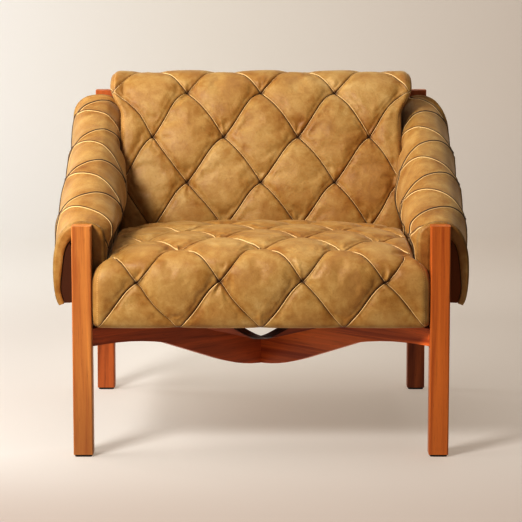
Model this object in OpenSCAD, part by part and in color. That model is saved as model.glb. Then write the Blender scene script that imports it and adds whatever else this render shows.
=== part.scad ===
// Tufted leather lounge chair: two hardwood side frames joined by a crossed, half-lapped stretcher,
// with a loose seat and back cushion and a tufted leather saddle draped over each sloping arm rail.
// Millimetres. The front faces -Y, +X is the right arm as seen from the front, +Z is up.

/* [Frame] */
// Width across the outer faces of the posts
frame_w = 844; // [760:1:960]
// Depth at the floor, front face of the front posts to back face of the rear posts
frame_d = 807; // [740:1:900]
// Side of the square posts
post_w = 44; // [38:0.5:52]
// Rounding of the long edges of the posts
post_round = 4; // [2:0.5:7]
// Height of the front posts' tops above the floor
front_h = 523; // [490:1:560]
// Height of the rear posts' tops above the floor
rear_h = 770; // [745:1:820]
// How far the rear posts' tops lean back
rear_rake = 36; // [10:1:60]
// Width of the arm rails
arm_rail_w = 30; // [24:1:36]
// Height of the arm rails
arm_rail_h = 46; // [38:1:52]
// Width of the side rails between the posts
side_rail_w = 28; // [22:1:34]
// Height of the side rails
side_rail_h = 69; // [56:1:80]
// Diameter of the dowels
dowel_d = 8; // [6:0.5:10]
// Depth of each dowel in each piece
dowel_in = 21; // [16:1:24]

/* [Crossed stretcher] */
// Thickness of each beam
beam_t = 32; // [26:1:38]
// Height of the beams' lower edge where they cross
beam_low = 142; // [120:1:160]
// Height of the beams at the crossing
beam_mid_h = 57; // [48:1:66]
// Radius of the curved belly at the crossing
belly_r = 430; // [350:5:520]
// Steepness of the straight lower flank, in degrees
flank_deg = 19.5; // [17:0.5:21]
// Distance along the beam from the crossing to the corner of the lower edge
knee_s = 323; // [300:1:345]
// Height of the beam's ends
beam_end_h = 40; // [34:1:48]
// Radius of the dip on top of the crossing
dip_r = 180; // [140:5:240]
// Steepness of the upper flank, in degrees
top_deg = 16; // [14:0.5:18]
// Diameter of the screw that holds the half-lap
lap_screw_d = 5; // [4:0.5:6]

/* [Seat] */
// Underside of the seat deck above the floor
deck_z = 291; // [275:1:305]
// Height of the seat deck rails
deck_rail_h = 40; // [30:1:50]
// Thickness of the seat deck rails
deck_rail_t = 25; // [18:1:30]
// Thickness of the dust cover
dust_t = 1.6; // [1:0.1:3]
// Thickness of the webbing straps
strap_t = 2; // [1.5:0.1:3]
// Width of the webbing straps
strap_w = 50; // [40:1:60]
// Straps from front to back
straps_long = 6; // [4:1:7]
// Straps from side to side
straps_cross = 4; // [3:1:5]
// Height of the seat's crown above the floor
seat_top = 486; // [470:1:505]
// Depth of the seat cushion
seat_d = 582; // [540:1:600]
// Room between the seat cushion and each front post
seat_side_gap = 0.5; // [0.3:0.1:6]
// How much further in the seat's sides stand behind the posts, between the arms
seat_pinch = 30.5; // [24:0.5:36]
// How far the seat's upper front corners are rounded in from its sides
seat_shoulder = 26; // [10:1:34]
// How far the seat's crown falls toward its sides
seat_fall = 24; // [8:1:34]

/* [Back] */
// Height of the back cushion's top above the floor
back_top = 824; // [800:1:850]
// Thickness of the back rails
back_rail_t = 24; // [18:1:28]
// Height of the back rails
back_rail_h = 50; // [40:1:60]
// Room between the back cushion's upper corners and the planes of the posts' inner faces
back_side_gap = 0; // [0:1:12]
// How much further in the back cushion's sides stand below its corners, between the arms
back_pinch = 26; // [20:1:34]

/* [Arm saddles] */
// Height of the saddle's ridge at its front end
arm_z = 524; // [505:1:540]
// Rise of the ridge for each millimetre of depth
arm_slope = 0.31; // [0.26:0.01:0.33]
// Half width of the saddle across its bulges
arm_half = 72.5; // [66:0.5:78]
// Padding over the rail
arm_pad_t = 28; // [22:1:34]
// Length of the outer flap below the ridge
flap_out = 184; // [160:1:200]
// Thickness of the dark lining under the saddle
lining_t = 2.5; // [2:0.1:4]

/* [Tufting] */
// Distance between tufts across the chair
tuft_w = 185; // [150:1:220]
// Distance between the seat's tuft rows along the leather
tuft_row = 112; // [95:1:130]
// Distance between the back's tuft rows along the leather
back_tuft_row = 116; // [100:1:130]
// Depth of the tufts below the crown of the pillows
tuft_depth = 20; // [8:1:26]
// Depth of the tufts in the thinner padding of the arms
arm_tuft_depth = 5; // [3:0.5:9]
// Distance over the ridge between the outer and the inner line of tufts
arm_tuft_row = 170; // [150:1:190]

/* [Fit] */
// Gap between soft pieces and their neighbours
soft_gap = 0.3; // [0.2:0.1:1]
// Gap between an arm saddle and its lining
lining_gap = 0.6; // [0.4:0.1:0.9]
// Gap around a dowel in its hole
dowel_gap = 0.15; // [0.1:0.05:0.3]
// Height of the foot glides
glide_h = 4.5; // [3:0.5:8]

/* [Hidden] */
$fn = 48;

oak = [0.62, 0.34, 0.16];
hide = [0.72, 0.52, 0.27];
dark = [0.12, 0.10, 0.09];

// Places of the frame
seat_proud = 11;
y_front = -(frame_d + rear_rake - seat_proud) / 2;
y_rear = y_front + frame_d - post_w;
post_x = (frame_w - post_w) / 2;
inner_x = post_x - post_w / 2;
rake = atan(rear_rake / rear_h);
beam_top = deck_z - dust_t;
deck_top = deck_z + deck_rail_h;
web_top = deck_top + 2 * strap_t;
rail_inner_x = post_x - side_rail_w / 2;
deck_front = y_front + post_w + 8;
deck_back = y_rear - 23;

// Half of the diagonal between the posts that one beam joins
diag_y = (y_rear + beam_top * tan(rake) + post_w / 2 - y_front - post_w / 2) / 2;
y_cross = y_front + post_w / 2 + diag_y;
diag = norm([post_x, diag_y]);
beam_deg = atan(diag_y / post_x);
beam_end = diag - post_w / 3;

// Soft shapes
function cat1(a, b, c, d, t) =
    0.5 * (2 * b + (c - a) * t + (2 * a - 5 * b + 4 * c - d) * t * t + (3 * b - a - 3 * c + d) * t * t * t);
function open_curve(p, n) = let (m = len(p)) concat(
    [for (i = [0 : m - 2], k = [0 : n - 1])
        cat1(p[max(i - 1, 0)], p[i], p[i + 1], p[min(i + 2, m - 1)], k / n)], [p[m - 1]]);
function walked(p, i = 0, sum = 0) = i == len(p) - 1 ? [sum]
    : concat([sum], walked(p, i + 1, sum + norm(p[i + 1] - p[i])));
function left_of(v) = [-v[1], v[0]] / max(norm(v), 1e-6);
function normals(p) = let (m = len(p)) [for (i = [0 : m - 1]) left_of(p[(i + 1) % m] - p[(i + m - 1) % m])];
function open_normals(p) = let (m = len(p)) [for (i = [0 : m - 1]) left_of(p[min(i + 1, m - 1)] - p[max(i - 1, 0)])];
function mix(a, b, t) = a + (b - a) * t;
function ease(a, b, v) = let (t = min(max((v - a) / (b - a), 0), 1)) t * t * (3 - 2 * t);
// Height of a diamond pillow, 0 along its seams and 1 at its middle, where u and v count diamonds
function pillow(u, v) = pow(abs(sin(180 * (u + v)) * sin(180 * (u - v))), 0.5);

// The point at arc length t of a line whose points lie at arc lengths s
function point_at(line, s, t) = let (i = max([for (k = [0 : len(s) - 2]) if (s[k] <= t || k == 0) k]))
    mix(line[i], line[i + 1], (t - s[i]) / (s[i + 1] - s[i]));

// A closed skin over a row of closed loops of equal length. The first nf points of a loop are its face, and the
// rest lead back under it; at both ends panels join the two. Where turned(i, j) holds, the panel at row i and
// point j is split along its other diagonal, so that seams run along edges
module loft(rows, nf, turned = function (i, j) false) {
    m = len(rows[0]);
    n = len(rows);
    sides = [for (i = [0 : n - 2], j = [0 : m - 1]) let (a = i * m + j, b = i * m + (j + 1) % m)
        each turned(i, j) ? [[a, b, a + m], [b, b + m, a + m]] : [[a, b, b + m], [a, b + m, a + m]]];
    below = function (j) m - 1 - round(j * (m - nf - 1) / (nf - 1));
    near = [for (j = [0 : nf - 2]) let (c = below(j + 1), d = below(j))
        each c == d ? [[c, j + 1, j]] : [[c, j + 1, j], [j, d, c]]];
    far = [for (t = near) [for (k = [2 : -1 : 0]) t[k] + (n - 1) * m]];
    polyhedron([for (r = rows) each r], concat(sides, near, far), convexity = 8);
}

// What is modelled for the right side, or its mirror image
module sided(side) {
    if (side > 0) children();
    else mirror([1, 0, 0]) children();
}

// Wooden pieces
module rounded_square(w, d, r) {
    square([w - 2 * r, d], center = true);
    square([w, d - 2 * r], center = true);
    for (x = [-1, 1], y = [-1, 1]) translate([x * (w / 2 - r), y * (d / 2 - r)]) circle(r);
}

module front_post_blank(side) {
    translate([side * post_x, y_front + post_w / 2, glide_h])
        linear_extrude(front_h - glide_h) rounded_square(post_w, post_w, post_round);
}

module raked() {
    translate([0, y_rear, 0]) rotate([-rake, 0, 0]) children();
}

module rear_post_blank(side) {
    intersection() {
        raked() translate([side * post_x, post_w / 2, -post_w])
            linear_extrude(rear_h + 2 * post_w) rounded_square(post_w, post_w, post_round);
        translate([side * post_x - post_w, y_rear - post_w, glide_h])
            cube([2 * post_w, 4 * post_w, rear_h - glide_h]);
    }
}

// Lower edge of a beam over the distance from the crossing, then its upper edge
belly_s = belly_r * sin(flank_deg);
belly_rise = belly_r * (1 - cos(flank_deg));
knee_z = beam_low + belly_rise + (knee_s - belly_s) * tan(flank_deg);
beam_end_z = beam_top - beam_end_h;
soffit_s = diag - 56;
dip_s = dip_r * sin(top_deg);
dip_z = beam_low + beam_mid_h + dip_r * (1 - cos(top_deg));
shoulder_s = dip_s + (beam_top - dip_z) / tan(top_deg);
lower_half = concat(
    [for (a = [0 : flank_deg / 6 : flank_deg + 0.01]) [belly_r * sin(a), beam_low + belly_r * (1 - cos(a))]],
    [for (k = [0 : 5]) let (t = k / 5)
        [mix(knee_s, soffit_s, t), beam_end_z - (beam_end_z - knee_z) * pow(1 - t, 2)]],
    [[beam_end, beam_end_z]]);
upper_half = concat([[beam_end, beam_top], [shoulder_s, beam_top]],
    [for (a = [top_deg : -top_deg / 4 : -0.01]) [dip_r * sin(a), beam_low + beam_mid_h + dip_r * (1 - cos(a))]]);
half_outline = concat(lower_half, upper_half);
beam_outline = concat(half_outline,
    [for (k = [len(half_outline) - 2 : -1 : 1]) [-half_outline[k][0], half_outline[k][1]]]);

module along_beam(way) {
    translate([0, y_cross, 0]) rotate([0, 0, way * beam_deg]) children();
}

module beam_blank(way) {
    along_beam(way) rotate([90, 0, 0]) translate([0, 0, -beam_t / 2])
        linear_extrude(beam_t) polygon(beam_outline);
}

module beam_dowels(way, gap = 0) {
    along_beam(way) for (end = [-1, 1], up = [-1, 1])
        translate([end * beam_end, 0, beam_top - beam_end_h / 2 + up * beam_end_h / 5])
            rotate([0, 90, 0]) cylinder(d = dowel_d + 2 * gap, h = 2 * dowel_in, center = true);
}

module lap_screw_solid(gap = 0) {
    head_z = beam_low + 4;
    translate([0, y_cross, head_z - (gap > 0 ? 9 : 0)])
        cylinder(d = 2 * lap_screw_d + 2 * gap, h = 4 + (gap > 0 ? 9 : 0));
    translate([0, y_cross, head_z + 3.9]) cylinder(d = lap_screw_d + 2 * gap, h = beam_mid_h - 20);
}

module side_rail_blank(side) {
    translate([side * post_x - side_rail_w / 2, y_front + post_w, deck_top - side_rail_h])
        cube([side_rail_w, y_rear - y_front - post_w / 2, side_rail_h]);
}

arm_deg = atan(arm_slope);
rail_drop = arm_pad_t + lining_t + lining_gap + soft_gap;
arm_y = y_front + 50;
rail_cross = arm_rail_h * cos(arm_deg);

module arm_rail_blank(side) {
    intersection() {
        translate([side * post_x, arm_y, arm_z - rail_drop]) rotate([arm_deg, 0, 0])
            translate([0, (frame_d + rear_rake - post_w / 2 - 50) / cos(arm_deg) - 14, -rail_cross / 2])
            rotate([90, 0, 0]) linear_extrude(frame_d + rear_rake) rounded_square(arm_rail_w, rail_cross, 7);
        translate([side * post_x - post_w, y_front + post_w, 0]) cube([2 * post_w, frame_d, 2 * rear_h]);
    }
}

back_rail_low_q = deck_top + 22;
back_rail_high_q = rear_h - 80;

module back_rail(q) {
    raked() translate([-inner_x, 8, q]) cube([2 * inner_x, back_rail_t, back_rail_h]);
}

// Dowels at the square joints, as [place, direction]
arm_mid = arm_z - rail_drop - arm_rail_h / 2;
function arm_rail_z(y) = arm_mid + arm_slope * (y - arm_y);
rear_face = function (z) y_rear + z * tan(rake);
arm_rear_z = arm_rail_z(rear_face(rear_h - 60));
square_dowels = concat(
    [for (s = [-1, 1], k = [-1, 1])
        [[s * post_x, y_front + post_w, arm_rail_z(y_front + post_w) + k * 10], [90, 0, 0]]],
    [for (s = [-1, 1], k = [-1, 1]) [[s * post_x, rear_face(arm_rear_z), arm_rear_z + k * 10], [90, 0, 0]]],
    [for (s = [-1, 1], z = [deck_z + deck_rail_h / 2, deck_z - 2.5])
        each [[[s * post_x, y_front + post_w, z], [90, 0, 0]], [[s * post_x, rear_face(z), z], [90, 0, 0]]]],
    [for (s = [-1, 1], k = [-1, 1], y = [deck_front, deck_back - deck_rail_t])
        [[s * rail_inner_x, y + deck_rail_t / 2, deck_z + (0.5 + 0.32 * k) * deck_rail_h], [0, 90, 0]]]);
back_dowel_q = [for (q = [back_rail_low_q, back_rail_high_q], k = [1, 3]) q + k * back_rail_h / 4];

module square_dowel_set(gap = 0) {
    short = min(dowel_in, side_rail_w / 2 - 1);
    for (d = square_dowels) translate(d[0]) rotate(d[1])
        cylinder(d = dowel_d + 2 * gap, h = 2 * (d[1][1] > 0 ? short : dowel_in), center = true);
    raked() for (s = [-1, 1], q = back_dowel_q) translate([s * inner_x, 8 + back_rail_t / 2, q])
        rotate([0, 90, 0]) cylinder(d = dowel_d + 2 * gap, h = 2 * dowel_in, center = true);
}

module drilled() {
    difference() {
        children();
        square_dowel_set(dowel_gap);
        for (way = [-1, 1]) beam_dowels(way, dowel_gap);
    }
}

module front_post(side) {
    color(oak) drilled() difference() {
        front_post_blank(side);
        beam_blank(-side * 1);
    }
}

module rear_post(side) {
    color(oak) drilled() difference() {
        rear_post_blank(side);
        beam_blank(side);
    }
}

module arm_rail(side) {
    color(oak) drilled() difference() {
        arm_rail_blank(side);
        rear_post_blank(side);
    }
}

module side_rail(side) {
    color(oak) drilled() difference() {
        side_rail_blank(side);
        rear_post_blank(side);
    }
}

// One beam of the crossed stretcher: the lower one is cut away above the half-lap, the upper one below
module stretcher(way, cut_above) {
    lap_z = beam_low + beam_mid_h / 2;
    color(oak) drilled() difference() {
        beam_blank(way);
        along_beam(-way) translate([0, 0, lap_z + (cut_above ? 1 : -1) * beam_mid_h])
            cube([2 * beam_t, beam_t, 2 * beam_mid_h], center = true);
        for (side = [-1, 1]) difference() {
            side_rail_blank(side);
            rear_post_blank(side);
        }
        lap_screw_solid(dowel_gap);
    }
}

module lap_screw() {
    color(dark) lap_screw_solid();
}

module stretcher_dowels() {
    color(oak) for (way = [-1, 1]) beam_dowels(way);
}

module rail_dowels() {
    color(oak) square_dowel_set();
}

module seat_rail(y) {
    color(oak) drilled() translate([-rail_inner_x, y, deck_z]) cube([2 * rail_inner_x, deck_rail_t, deck_rail_h]);
}

// Spaced places from -half to half
function spaced(count, half) = [for (i = [0 : count - 1]) -half + 2 * half * i / (count - 1)];

module seat_webbing() {
    strap_half = rail_inner_x - strap_w;
    color(dark) {
        for (x = spaced(straps_long, strap_half)) translate([x - strap_w / 2, deck_front, deck_top]) {
            translate([0, 0, strap_t]) cube([strap_w, deck_back - deck_front, strap_t]);
            cube([strap_w, deck_rail_t, strap_t]);
            translate([0, deck_back - deck_front - deck_rail_t, 0]) cube([strap_w, deck_rail_t, strap_t]);
        }
        for (y = spaced(straps_cross, (deck_back - deck_front) / 2 - 1.8 * strap_w))
            translate([-post_x, (deck_front + deck_back) / 2 + y - strap_w / 2, deck_top])
                cube([2 * post_x, strap_w, strap_t]);
    }
}

module dust_cover() {
    color(dark) translate([-rail_inner_x + soft_gap, deck_front, beam_top])
        cube([2 * (rail_inner_x - soft_gap), deck_back - deck_front, dust_t]);
}

module back_rail_piece(q) {
    color(oak) drilled() back_rail(q);
}

module back_webbing() {
    low = back_rail_low_q;
    high = back_rail_high_q + back_rail_h;
    reach = inner_x - 12;
    color(dark) raked() {
        for (x = spaced(5, reach - 1.2 * strap_w)) translate([x - strap_w / 2, 8 - 2 * strap_t, low]) {
            cube([strap_w, strap_t, high - low]);
            for (q = [0, high - low - back_rail_h]) translate([0, strap_t, q]) cube([strap_w, strap_t, back_rail_h]);
        }
        for (q = spaced(3, (high - low) / 2 - back_rail_h - strap_w))
            translate([-reach, 8 - strap_t, (high + low) / 2 + q - strap_w / 2]) cube([2 * reach, strap_t, strap_w]);
    }
}

module foot_glides() {
    color(dark) for (s = [-1, 1], y = [y_front, y_rear]) translate([s * post_x, y + post_w / 2, 0])
        linear_extrude(glide_h) rounded_square(post_w - 6, post_w - 6, 6);
}

// Seat cushion, as loops in the side view that stand along the width
seat_half = inner_x - seat_side_gap;
seat_z = web_top + soft_gap;
lip_y = y_front + post_w + 8 - 2;
seat_back_y = y_front + seat_d - seat_proud;
seat_outline = [for (p = [
        [-2, -44], [-10, -20], [-11, 20], [-11, 55], [-6, 88], [7, 112], [30, 129], [62, 139],
        [130, 147], [220, 151], [320, 151], [420, 148], [500, 138], [548, 118], [568, 84], [571, 40]])
    [y_front + p[0] * (p[0] > 0 ? seat_d / 582 : 1), seat_z + p[1] + (p[1] > 100 ? seat_top - seat_z - 151 : 0)]];
seat_under = [[seat_back_y - 6, seat_z + 2], [seat_back_y - 40, seat_z], [mix(lip_y, seat_back_y, 0.5), seat_z],
    [lip_y, seat_z], [lip_y, seat_z - 38], [lip_y - 14, seat_z - 44]];

function inset_at(edge) = 16 * pow(1 - ease(0, 22, edge), 1.5);
// Place across a cushion where it is pinched to a half width: the sides move in, and the middle stays
function pinched(x, half, width) = x * (1 - (1 - width / half) * pow(abs(x) / half, 3));
// Points of an outline at thirds of a tuft row, counted from a row of tufts at arc length phase. Each ends with its
// share of the tufting, which fades in over 40 mm at the start and out over a calm stretch at the end
function row_points(outline, phase, row, calm) =
    let (line = open_curve(outline, 4), s = walked(line), end = s[len(s) - 1], step = row / 3,
         first = phase - floor((phase - 6) / step) * step)
    [for (t = concat([0], [for (t = first; t < end - 6; t = t + step) t], [end]))
        concat(point_at(line, s, t), [(t - phase) / (2 * row), ease(0, 40, t) * ease(0, calm, end - t)])];
function first_step(phase, row) = floor((phase - 6) / (row / 3)) + 1;
// Tufted loop at x: it sinks along the diamond seams and draws in towards the cushion's sides
function tufted_loop(x, face, under, half, place) =
    let (edge = half - abs(x),
         all = concat([for (p = face) [p[0], p[1]]], under),
         out = normals(all),
         sunk = tuft_depth * ease(4, 50, edge))
    [for (i = [0 : len(all) - 1])
        let (on_face = i < len(face),
             d = on_face ? -sunk * face[i][3] * (1 - pillow(x / tuft_w, face[i][2])) : 0,
             q = all[i] + out[i] * (d - inset_at(edge) * (on_face ? 1 : 0.4)))
        place(x, q)];
// Whether a panel is split the other way: along a seam, and elsewhere over the pillow's higher diagonal
function seam_turns(i, j, middle, first) = let (u = i - middle, v = j - first)
    (u + v + 601) % 6 == 0 || ((u - v + 600) % 6 != 0 &&
        pillow((u + 1) / 6, v / 6) + pillow(u / 6, (v + 1) / 6)
        > pillow(u / 6, v / 6) + pillow((u + 1) / 6, (v + 1) / 6));
// Half width of the seat: full between the front posts, narrower where the arm saddles tuck in beside it
seat_waist = seat_half - seat_pinch;
function seat_width(q) =
    mix(seat_half - seat_shoulder * pow(min(max(1 - (seat_top - 6 - q[1]) / 80, 0), 1), 2.2), seat_waist,
        ease(y_front + 26, y_front + 56, q[0]));
// Places across a cushion, at sixths of the distance between tufts, then closer together at its sides
function columns(half) = floor((half - 20) / (tuft_w / 6));
function rows_x(half) = concat([-half, -half + 5, -half + 16],
    [for (k = [-columns(half) : columns(half)]) k * tuft_w / 6], [half - 16, half - 5, half]);
seat_phase = 2 * tuft_row - 2;

seat_face = row_points(seat_outline, seat_phase, tuft_row, 40);

module seat_cover_form() {
    at_x = function (x, q) [pinched(x, seat_half, seat_width(q)), q[0],
        q[1] - seat_fall * pow(abs(x) / seat_half, 3) * ease(seat_z, seat_top, q[1])];
    first = first_step(seat_phase, tuft_row);
    loft([for (x = rows_x(seat_half)) tufted_loop(x, seat_face, seat_under, seat_half, at_x)],
        len(seat_face), function (i, j) seam_turns(i, j, 3 + columns(seat_half), first));
}

seat_foam_h = seat_top - seat_z - tuft_depth - seat_fall - 8;
module seat_foam_form(gap = 0) {
    front = y_front + 84;
    back = seat_back_y - 80;
    translate([0, (front + back) / 2, seat_z - (gap > 0 ? 5 : 0)])
        linear_extrude(seat_foam_h + gap + (gap > 0 ? 5 : 0))
            rounded_square(2 * (seat_waist - 30 + gap), back - front + 2 * gap, 24);
}

module seat_cover() {
    color(hide) difference() {
        seat_cover_form();
        seat_foam_form(soft_gap);
    }
}

module seat_foam() {
    color("khaki") seat_foam_form();
}

// Back cushion: its back lies on the raked webbing and its front leans further
function webbing_y(z) = y_rear + (8 - 2 * strap_t - soft_gap) / cos(rake) + z * tan(rake);
back_lift = back_top - 824;
back_outline = [for (p = [
        [4, 345], [2, 380], [2, 430], [5, 480], [17, 545], [33, 605], [51, 662], [72, 718],
        [93, 768], [111, 800], [139, 818], [173, 823], [205, 817], [228, 800]])
    [seat_back_y + p[0], p[1] + back_lift * ease(400, 768, p[1])]];
back_corner = inner_x - back_side_gap;
back_waist = back_corner - back_pinch;
back_phase = 447;

// Half width of the back cushion, which is pinched between the arms and spreads over their ridges
function back_half(q) = mix(back_waist, back_corner, ease(-20, 8, q[1] - ridge(q[0])));

back_face = row_points(back_outline, back_phase, back_tuft_row, 130);

// The back cushion's back lies on the webbing, where each point of the face has a partner as high over the ridge line
function webbing_z(above) = (ridge(webbing_y(0)) + above) / (1 - arm_slope * tan(rake));
back_under = concat(
    [for (k = [0 : len(back_face) - 4]) let (q = back_face[len(back_face) - 1 - k],
         z = min(webbing_z(q[1] - ridge(q[0])), back_top - 50 - 1.5 * k)) [webbing_y(z), z]],
    [[webbing_y(deck_top + 30), deck_top + 30], [webbing_y(deck_top + 24) - 16, seat_z],
     [mix(seat_back_y, webbing_y(deck_top), 0.4), seat_z]]);

module back_cover_form() {
    at_x = function (x, q) [pinched(x, back_corner, back_half(q)), q[0], q[1]];
    first = first_step(back_phase, back_tuft_row);
    loft([for (x = rows_x(back_corner)) tufted_loop(x, back_face, back_under, back_corner, at_x)],
        len(back_face), function (i, j) seam_turns(i, j, 3 + columns(back_corner), first));
}

module back_foam_form(gap = 0) {
    low = deck_top + 60;
    high = back_top - 66;
    reach = back_waist - 44 + gap;
    open = gap > 0 ? 5 : 0;
    translate([-reach, 0, 0]) rotate([90, 0, 90]) linear_extrude(2 * reach) polygon([
        [webbing_y(low - gap) + open, low - gap], [webbing_y(high + gap) + open, high + gap],
        [seat_back_y + 132 - gap, high + gap], [seat_back_y + 52 - gap, low - gap]]);
}

module back_cover() {
    color(hide) difference() {
        back_cover_form();
        back_foam_form(soft_gap);
    }
}

module back_foam() {
    color("khaki") back_foam_form();
}

// Arm saddle: sections across the sloping rail, as [outward, height above the ridge]
saddle_front = y_front + post_w + 2 * soft_gap + 1;
saddle_back = y_rear + 24;
arm_phase = y_front + 50;
saddle_rows_y = concat([saddle_front, saddle_front + 7],
    [for (y = [arm_phase + tuft_w / 6 : tuft_w / 6 : saddle_back - 16]) y], [saddle_back - 9, saddle_back]);

function ridge(y) = arm_z + arm_slope * (y - arm_y);
// Reach of the saddle towards the seat, drawn in beside the front post
function inner_reach(y) = mix(42, arm_half, ease(30, 130, y - y_front));
function inner_drop(y) = ridge(y) - seat_top + tuck_depth;
// Room beside the back cushion, which begins further back the higher it is
beside_back = post_x - back_waist - 2;
function back_front(z) = lookup(z, [for (k = [0 : len(back_outline) - 3]) [back_outline[k][1], back_outline[k][0]]]);
function reach_limit(y, z) = mix(arm_half, beside_back, ease(back_front(z) - 46, back_front(z) - 8, y));
// How far the inner flap tucks down beside the seat, and how far it stands out there
tuck_depth = 70;
tuck_out = post_x - seat_waist - 2;

// Reach of the saddle outwards, a little less beside the front post
front_half = arm_half - 7.5;
function outer_reach(y) = mix(front_half, arm_half, ease(30, 200, y - y_front));
function outer_side(out, flap) = [for (p = [
        [0.30, -0.015], [0.58, -0.07], [0.82, -0.19], [0.96, -0.36], [1.00, -0.55], [0.98, -0.74],
        [0.91, -0.90], [0.80, -0.985]]) [p[0] * out, p[1] * flap]];
function inner_side(y) = let (reach = inner_reach(y), drop = inner_drop(y), bulge = drop - tuck_depth)
    [for (p = [[tuck_out - 6, -drop + 4], [tuck_out, -drop + 14], [tuck_out, -bulge - 26], [tuck_out + 9, -bulge + 2],
        [reach * 0.98, -bulge * 0.72 - 2], [reach * 0.9, -bulge * 0.42], [reach * 0.62, -bulge * 0.16],
        [reach * 0.3, -bulge * 0.03]]) [-min(p[0], reach, reach_limit(y, ridge(y) + p[1])), p[1]]];
saddle_edge = 17;
saddle_hem = 9;
// Place of the ridge among a section's face points
saddle_top = 16;

// Underside of the saddle, from the outer flap's hem over the rail to the inner hem
function lining_line(y) =
    let (out = outer_reach(y), drop = inner_drop(y), flat = arm_rail_w / 2 + 1.5,
         reach = min(inner_reach(y), reach_limit(y, ridge(y) - drop / 2)),
         tucked = mix(flat + 1, min(tuck_out, reach) - saddle_edge, ease(50, 110, y - y_front)),
         bend = -drop + tuck_depth + 4)
    [[0.80 * out - saddle_hem, -flap_out + 4], [out - saddle_hem - 5, -0.8 * flap_out],
     [out - saddle_edge - 1, -0.56 * flap_out], [out - saddle_edge - 6, -0.36 * flap_out],
     [mix(flat, out - saddle_edge, 0.5), -arm_pad_t - 14], [flat, -arm_pad_t - 2], [flat - 5, -arm_pad_t],
     [-flat + 5, -arm_pad_t], [-flat, -arm_pad_t - 2],
     [-max(flat + 1.5, reach - saddle_edge - 8), min(-arm_pad_t - 8, mix(-arm_pad_t, bend, 0.5))],
     [-max(flat + 1, tucked), min(-arm_pad_t - 20, bend - 8)], [-tucked + 1, -drop + 8]];

function over_ridge(y) = concat(
    [for (k = [7 : -1 : 0]) outer_side(outer_reach(y), flap_out)[k]], [[0, 0]],
    [for (k = [7 : -1 : 0]) inner_side(y)[k]]);

function saddle_loop(y) =
    let (line = over_ridge(y),
         face = open_curve(line, 2),
         s = walked(face),
         below = lining_line(y),
         all = concat(face, [for (k = [len(below) - 1 : -1 : 0]) below[k]]),
         out = -1 * normals(all),
         edge = min(y - saddle_front, saddle_back - y),
         sunk = arm_tuft_depth * ease(0, 40, edge))
    [for (i = [0 : len(all) - 1])
        let (on_face = i < len(face),
             w = on_face ? 0.25 + (s[saddle_top] - s[i]) / (2 * arm_tuft_row) : 0,
             near_end = on_face ? ease(0, 30, s[i]) * ease(0, 30, s[len(s) - 1] - s[i]) : 0,
             d = -sunk * near_end * (1 - pillow((y - arm_phase) / tuft_w, w)),
             q = all[i] + out[i] * (d - (on_face ? 7 * pow(1 - ease(0, 12, edge), 1.5) : 0)))
        [post_x + q[0], y, ridge(y) + q[1]]];

module arm_saddle(side) {
    color(hide) sided(side) loft([for (y = saddle_rows_y) saddle_loop(y)], 2 * saddle_top + 1);
}

function shifted(line, away) = let (n = open_normals(line)) [for (i = [0 : len(line) - 1]) line[i] + n[i] * away];
function lining_loop(y) =
    let (line = lining_line(y),
         near = shifted(line, lining_gap),
         far = shifted(line, lining_gap + lining_t))
    [for (q = concat(near, [for (k = [len(far) - 1 : -1 : 0]) far[k]])) [post_x + q[0], y, ridge(y) + q[1]]];

module arm_lining(side) {
    rows = [for (y = saddle_rows_y) lining_loop(min(max(y, saddle_front + 3), saddle_back - 3))];
    color(dark) sided(side) loft(rows, len(rows[0]) / 2, function (i, j) true);
}

front_post(-1);  // front_post_left
front_post(1);  // front_post_right
rear_post(-1);  // rear_post_left
rear_post(1);  // rear_post_right
arm_rail(-1);  // arm_rail_left
arm_rail(1);  // arm_rail_right
side_rail(-1);  // side_rail_left
side_rail(1);  // side_rail_right
stretcher(1, true);  // stretcher_lower
stretcher(-1, false);  // stretcher_upper
lap_screw();
stretcher_dowels();
rail_dowels();
seat_rail(deck_front);  // seat_rail_front
seat_rail(deck_back - deck_rail_t);  // seat_rail_rear
seat_webbing();
dust_cover();
back_rail_piece(back_rail_high_q);  // back_rail_top
back_rail_piece(back_rail_low_q);  // back_rail_bottom
back_webbing();
foot_glides();
seat_foam();
seat_cover();
back_foam();
back_cover();
arm_saddle(-1);  // arm_saddle_left
arm_saddle(1);  // arm_saddle_right
arm_lining(-1);  // arm_lining_left
arm_lining(1);  // arm_lining_right
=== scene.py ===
import math

import bmesh
import bpy
import numpy as np
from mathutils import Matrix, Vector


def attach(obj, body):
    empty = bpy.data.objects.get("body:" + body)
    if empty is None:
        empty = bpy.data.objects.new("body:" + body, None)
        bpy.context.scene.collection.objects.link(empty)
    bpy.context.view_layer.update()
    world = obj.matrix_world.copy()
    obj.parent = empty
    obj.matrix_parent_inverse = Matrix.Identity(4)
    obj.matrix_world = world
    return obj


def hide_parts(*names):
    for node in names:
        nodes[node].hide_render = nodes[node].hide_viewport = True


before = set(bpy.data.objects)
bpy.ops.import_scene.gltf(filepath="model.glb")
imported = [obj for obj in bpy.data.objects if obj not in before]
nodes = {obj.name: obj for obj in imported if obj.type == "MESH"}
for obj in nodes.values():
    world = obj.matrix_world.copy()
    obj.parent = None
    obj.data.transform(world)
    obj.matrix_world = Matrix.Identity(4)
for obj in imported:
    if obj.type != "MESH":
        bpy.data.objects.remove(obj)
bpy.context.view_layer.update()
scene = bpy.context.scene

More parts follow.
